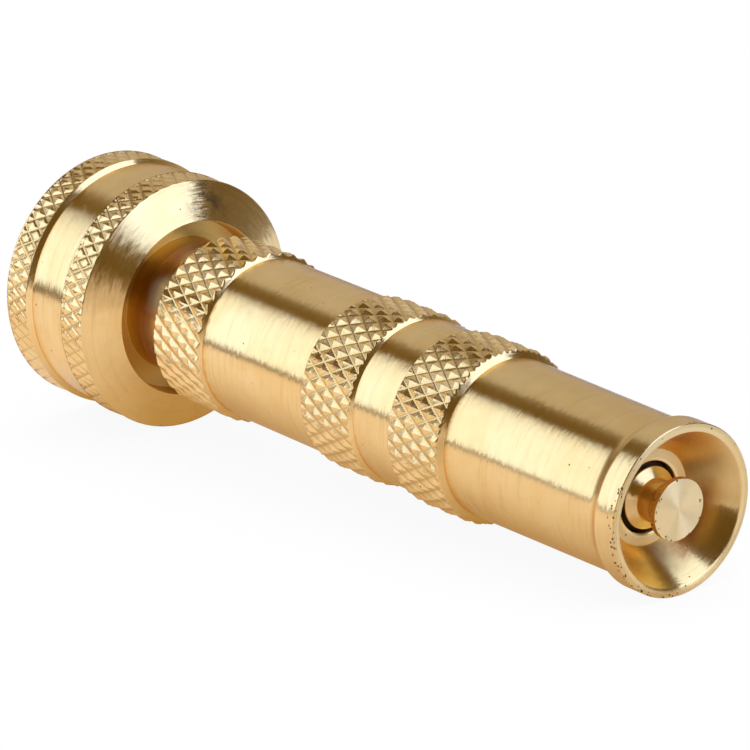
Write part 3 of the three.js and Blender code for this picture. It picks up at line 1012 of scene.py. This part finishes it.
def pale_table():
    """Glows nearly white to the camera, with a faint painted contact shadow. The metal sees a tinted table
    with painted shade near and under the nozzle.
    """
    made, n = material("pale_table")
    near = n.add("ShaderNodeAmbientOcclusion", samples=12)
    n.feed(near, Distance=0.10)
    open_sky = near.outputs["AO"]
    shade = n.step(open_sky, 0.1, 0.9, 0.94, 1.0)
    seen = n.combine(shade, shade, shade)
    spot = n.add("ShaderNodeNewGeometry").outputs
    across = n.split(spot["Position"])[1]
    near_side, far_side = colour(1.08, 1.09, 1.62), colour(0.90, 1.10, 2.1)
    # Painted shade for the metal's reflections: a shadow patch near the nozzle, and under it a darker, warm
    # tone standing in for the brass's bounced light.
    shadow, shade_and_bounce_under_nozzle = colour(0.60, 0.58, 0.75), colour(0.52, 0.38, 0.20)
    shadow_centre, shadow_start, shadow_full = (TIP_X + 0.022, -0.04, -0.01), 0.055, 0.02
    lit = n.mix(n.step(across, -0.02, 0.03), near_side, far_side)
    away = n.vector("LENGTH", n.vector("SUBTRACT", spot["Position"], shadow_centre))
    lit = n.mix(n.step(away, shadow_start, shadow_full, 0.0, 0.75), lit, shadow)
    reflected = n.mix(n.step(open_sky, 0.1, 1.0), shade_and_bounce_under_nozzle, lit)
    to_camera = n.add("ShaderNodeLightPath").outputs["Is Camera Ray"]
    glow = n.add("ShaderNodeEmission")
    n.feed(glow, Color=n.mix(to_camera, reflected, seen))
    clear = n.add("ShaderNodeBsdfTransparent")
    mix = n.add("ShaderNodeMixShader")
    n.put(mix.inputs[0], spot["Backfacing"])
    n.put(mix.inputs[1], glow.outputs[0])
    n.put(mix.inputs[2], clear.outputs[0])
    n.put(n.add("ShaderNodeOutputMaterial").inputs["Surface"], mix.outputs[0])
    return made


def studio_floor():
    """A pale table top under the flange and the coupling's front edge."""
    front = Vector((TIP_X, 0, -FLANGE_R * MM))
    rear = Vector((TIP_X - COUPLING_REST, 0, -COUPLING_R * MM))
    run = (front - rear).normalized()
    up = Vector((-run.z, 0, run.x))
    side = Vector((0, 1, 0))
    centre = (front + rear) / 2 - up * TABLE_GAP
    steps = 72
    angles = [2 * math.pi * k / steps for k in range(steps)]
    rim = [centre + TABLE_LENGTH * math.cos(a) * run + TABLE_WIDTH * math.sin(a) * side for a in angles]
    mesh = bpy.data.meshes.new("table_top")
    mesh.from_pydata([tuple(p) for p in rim], [], [tuple(range(steps))])
    mesh.update()
    floor = bpy.data.objects.new("table_top", mesh)
    bpy.context.scene.collection.objects.link(floor)
    mesh.materials.append(pale_table())


def studio_camera():
    """A long lens, above and to the left of the tip, looking back along the nozzle."""
    flat = math.cos(CAMERA_ELEVATION)
    forward = Vector(
        (
            -math.sin(CAMERA_AZIMUTH) * flat,
            math.cos(CAMERA_AZIMUTH) * flat,
            -math.sin(CAMERA_ELEVATION),
        )
    ).normalized()
    right = forward.cross(Vector((0, 0, 1))).normalized()
    up = right.cross(forward)
    tip = Vector((TIP_X, 0, 0))
    data = bpy.data.cameras.new("camera")
    data.sensor_width = 36.0
    data.lens = CAMERA_LENS
    data.clip_start, data.clip_end = 0.05, 10.0
    camera = bpy.data.objects.new("camera", data)
    camera.location = tip + CAMERA_RIGHT * right + CAMERA_UP * up - CAMERA_BACK * forward
    camera.rotation_mode = "QUATERNION"
    camera.rotation_quaternion = forward.to_track_quat("-Z", "Y")
    bpy.context.scene.collection.objects.link(camera)
    bpy.context.scene.camera = camera


# ---- The nozzle ----


def dress(obj, body, node, look):
    obj.data.materials.append(look)
    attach(obj, body)
    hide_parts(node)


# Painted shade inside the funnel and inside the recess around the neck.
FUNNEL_SHADE = (0.05, ORIFICE - 0.1, FRONT_R - 0.35, (0.72, 0.47, 0.13), 0.5)
RECESS_SHADE = (87.3, RECESS_BOTTOM + 0.1, 10.8, (0.66, 0.39, 0.06), 0.7)
SMUDGE = ((-88.3, 2.6, 12.4), 4.5)
LOWER_LEFT, LEFT = (0.0, -0.85, -0.53), (0.0, -1.0, 0.0)

barrel_look = brass("barrel_brass", chipped_edge=(0.0, FLANGE_R, LOWER_LEFT), hollow_shade=FUNNEL_SHADE)
coupling_look = brass("coupling_brass", hollow_shade=RECESS_SHADE, stain=SMUDGE)
# The spindle's faced head is painted lighter, a painted highlight.
spindle_look = brass("spindle_brass", pits=0.6, faced_highlight=0.45, chipped_edge=(-HEAD_FACE, HEAD_R, LEFT))
stem_look = brass("stem_brass", tarnish=0.2)
rubber_look = rubber("oring_rubber")
washer_look = rubber("washer_rubber")
steel_look = spring_steel("spring_steel")

dress(make_barrel(), "barrel", "barrel", barrel_look)
dress(make_coupling(), "coupling_and_stem", "hose_coupling", coupling_look)
dress(make_spindle(), "coupling_and_stem", "spray_spindle", spindle_look)
shutoff = make_oring("shutoff_oring_moulded", station=6.63, outer=4.14, section=0.78)
dress(shutoff, "coupling_and_stem", "shutoff_oring", rubber_look)
seal = make_oring("stem_seal_oring_moulded", station=48.1, outer=6.55, section=0.65)
dress(seal, "coupling_and_stem", "stem_seal_oring", rubber_look)
dress(make_washer(), "coupling_and_stem", "hose_washer", washer_look)
dress(make_stem(), "coupling_and_stem", "valve_stem", stem_look)
dress(make_stop_ring(), "stop_ring", "barrel_stop_ring", steel_look)

studio_world()
studio_floor()
studio_camera()
bpy.context.scene.view_settings.view_transform = "Standard"
